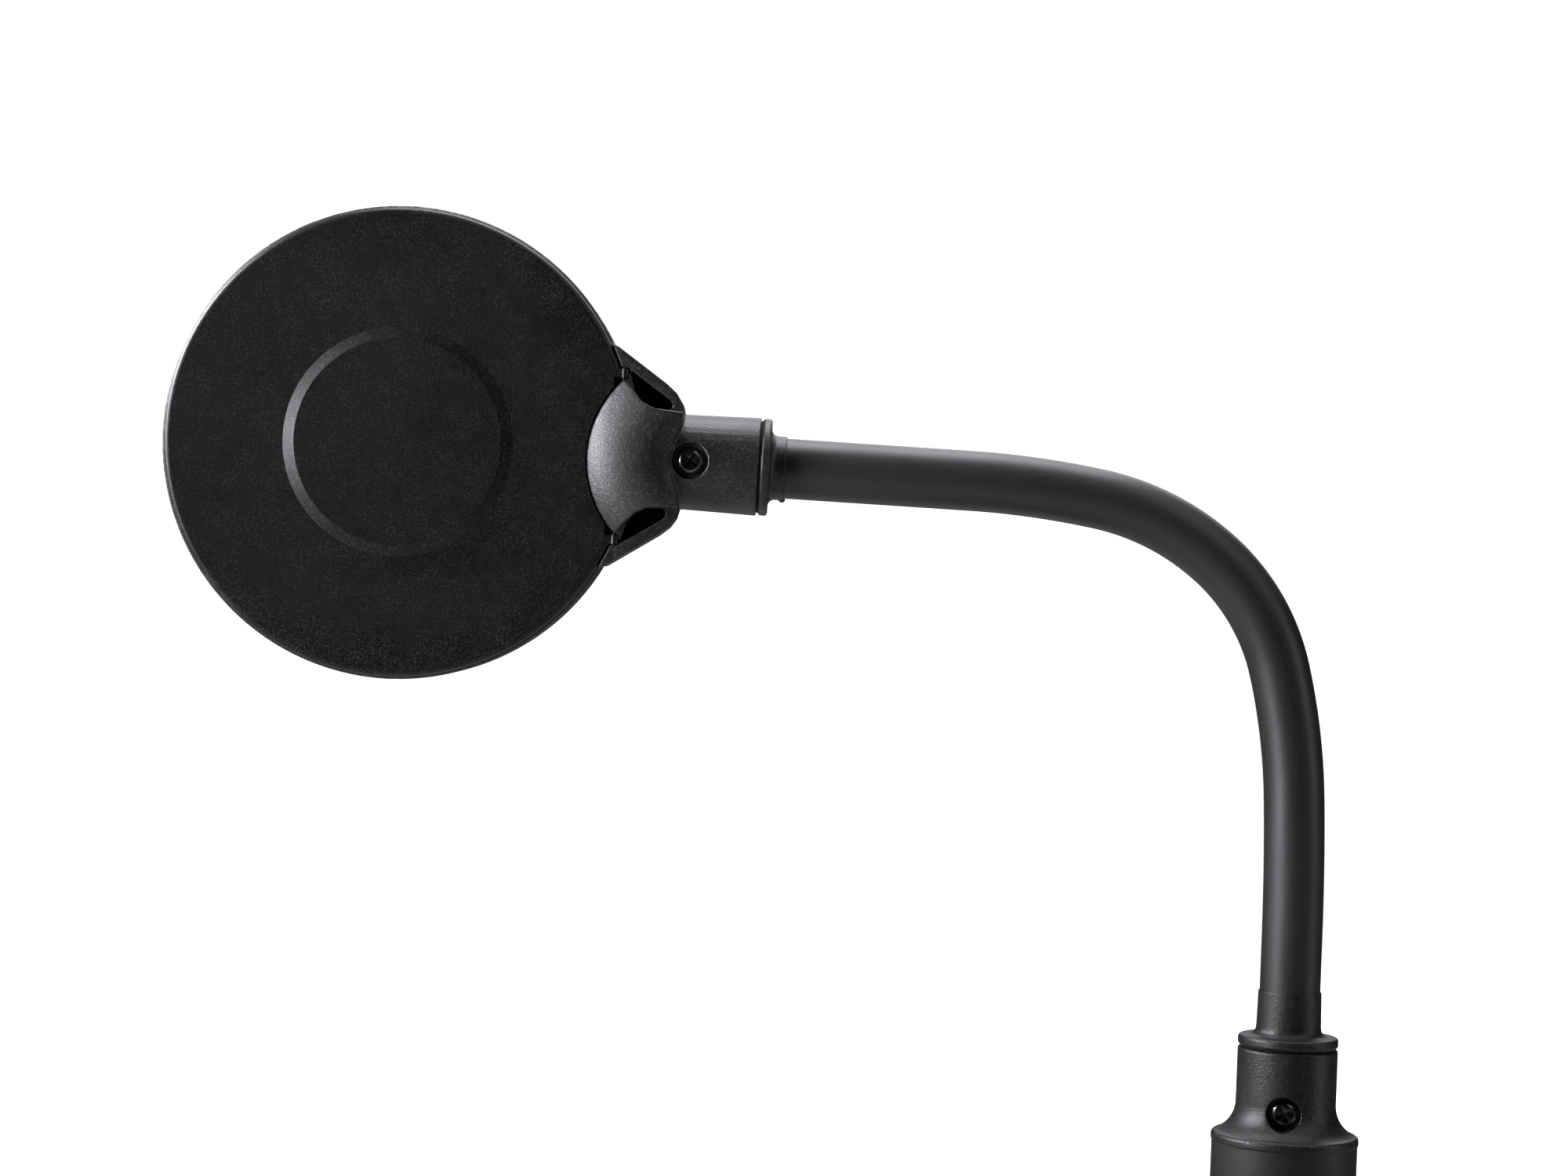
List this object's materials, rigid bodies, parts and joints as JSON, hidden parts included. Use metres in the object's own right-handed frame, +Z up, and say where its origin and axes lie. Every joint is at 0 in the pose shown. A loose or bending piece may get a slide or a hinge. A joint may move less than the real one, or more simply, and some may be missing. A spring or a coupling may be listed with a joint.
{
  "type": "magnifying lamp",
  "caption": "Desk magnifying lamp: a round lens head with a light ring and a hinged cover, on a bendable gooseneck that rises from a column on a weighted round base.",
  "frame": {"origin": "centre of the base's underside, on the surface that the lamp stands on", "axes": "+Z up; the head hangs out over -X and its cover faces -Y"},
  "size_m": [0.3707, 0.18, 0.3621],
  "materials": {
    "shell_plastic": "fine-grained black ABS",
    "column_paint": "fine-textured black powder coat",
    "neck_rubber": "smooth satin black silicone sleeve",
    "pad_rubber": "matt black rubber",
    "button_plastic": "satin black",
    "steel": "zinc-plated steel",
    "black_screw": "black-oxide steel",
    "spine_steel": "galvanised spring steel",
    "ballast_iron": "rough cast",
    "inlet_metal": "nickel-plated shell",
    "board_green": "solder-masked circuit board",
    "board_white": "white solder-masked light board",
    "led": "phosphor-filled chip",
    "switch_plastic": "moulded black",
    "cable_jacket": "round twin lead",
    "lens_glass": "polished optical glass",
    "diffuser": "frosted white polycarbonate"
  },
  "bodies": {
    "base": {"base_pad": "pad_rubber", "base_bottom_plate": "steel", "base_ballast": "ballast_iron", "base_shell": "shell_plastic", "base_screws": "steel", "driver_board": "board_green", "usb_inlet": "inlet_metal", "switch_module": "switch_plastic", "column_tube": "column_paint", "column_foot": "ballast_iron", "column_screws": "steel", "lower_collar": "shell_plastic", "lower_collar_screw": "black_screw", "neck_foot_fitting": "shell_plastic", "neck_sleeve_1": "neck_rubber", "neck_spine_1": "spine_steel", "neck_cable_1": "cable_jacket"},
    "button": {"button_cap": "button_plastic"},
    "neck_link_2": {"neck_sleeve_2": "neck_rubber", "neck_spine_2": "spine_steel", "neck_cable_2": "cable_jacket"},
    "neck_link_3": {"neck_sleeve_3": "neck_rubber", "neck_spine_3": "spine_steel", "neck_cable_3": "cable_jacket"},
    "neck_link_4": {"neck_sleeve_4": "neck_rubber", "neck_spine_4": "spine_steel", "neck_cable_4": "cable_jacket"},
    "neck_link_5": {"neck_sleeve_5": "neck_rubber", "neck_spine_5": "spine_steel", "neck_cable_5": "cable_jacket"},
    "neck_link_6": {"neck_sleeve_6": "neck_rubber", "neck_spine_6": "spine_steel", "neck_cable_6": "cable_jacket"},
    "head": {"neck_sleeve_7": "neck_rubber", "neck_spine_7": "spine_steel", "neck_cable_7": "cable_jacket", "neck_head_fitting": "shell_plastic", "head_collar_screw": "black_screw", "head_top_shell": "shell_plastic", "head_bottom_shell": "shell_plastic", "head_screws": "black_screw", "lens": "lens_glass", "lens_gasket": "pad_rubber", "lens_bezel": "shell_plastic", "led_board": "board_white", "led_chips": "led", "diffuser_ring": "diffuser", "hinge_pins": "black_screw"},
    "cover": {"lens_cover": "shell_plastic"}
  },
  "joints": [
    {"name": "button_press", "type": "slide", "parent": "base", "child": "button", "axis": [0, 0, -1], "range_m": [0, 0.0015], "stiffness_N_per_m": 400},
    {"name": "neck_bend_1", "type": "hinge", "parent": "base", "child": "neck_link_2", "pos_m": [0.04, 0, 0.169], "axis": [0, -1, 0], "range_deg": [-30, 15]},
    {"name": "neck_sway_1", "type": "hinge", "parent": "neck_link_2", "child": "neck_link_3", "pos_m": [0.03912, 0, 0.20579], "axis": [0.9988, 0, 0.048], "range_deg": [-20, 20]},
    {"name": "neck_bend_2", "type": "hinge", "parent": "neck_link_3", "child": "neck_link_4", "pos_m": [0.03362, 0, 0.24211], "axis": [0, -1, 0], "range_deg": [-30, 15]},
    {"name": "neck_sway_2", "type": "hinge", "parent": "neck_link_4", "child": "neck_link_5", "pos_m": [0.01429, 0, 0.27272], "axis": [0.6414, 0, 0.7672], "range_deg": [-20, 20]},
    {"name": "neck_bend_3", "type": "hinge", "parent": "neck_link_5", "child": "neck_link_6", "pos_m": [-0.01868, 0, 0.28812], "axis": [0, -1, 0], "range_deg": [-30, 15]},
    {"name": "neck_sway_3", "type": "hinge", "parent": "neck_link_6", "child": "head", "pos_m": [-0.05526, 0, 0.29186], "axis": [0.027, 0, 0.9996], "range_deg": [-20, 20]},
    {"name": "cover_hinge", "type": "hinge", "parent": "head", "child": "cover", "pos_m": [-0.15322, -0.0097, 0.29451], "axis": [0.027, 0, 0.9996], "range_deg": [0, 90]}
  ]
}
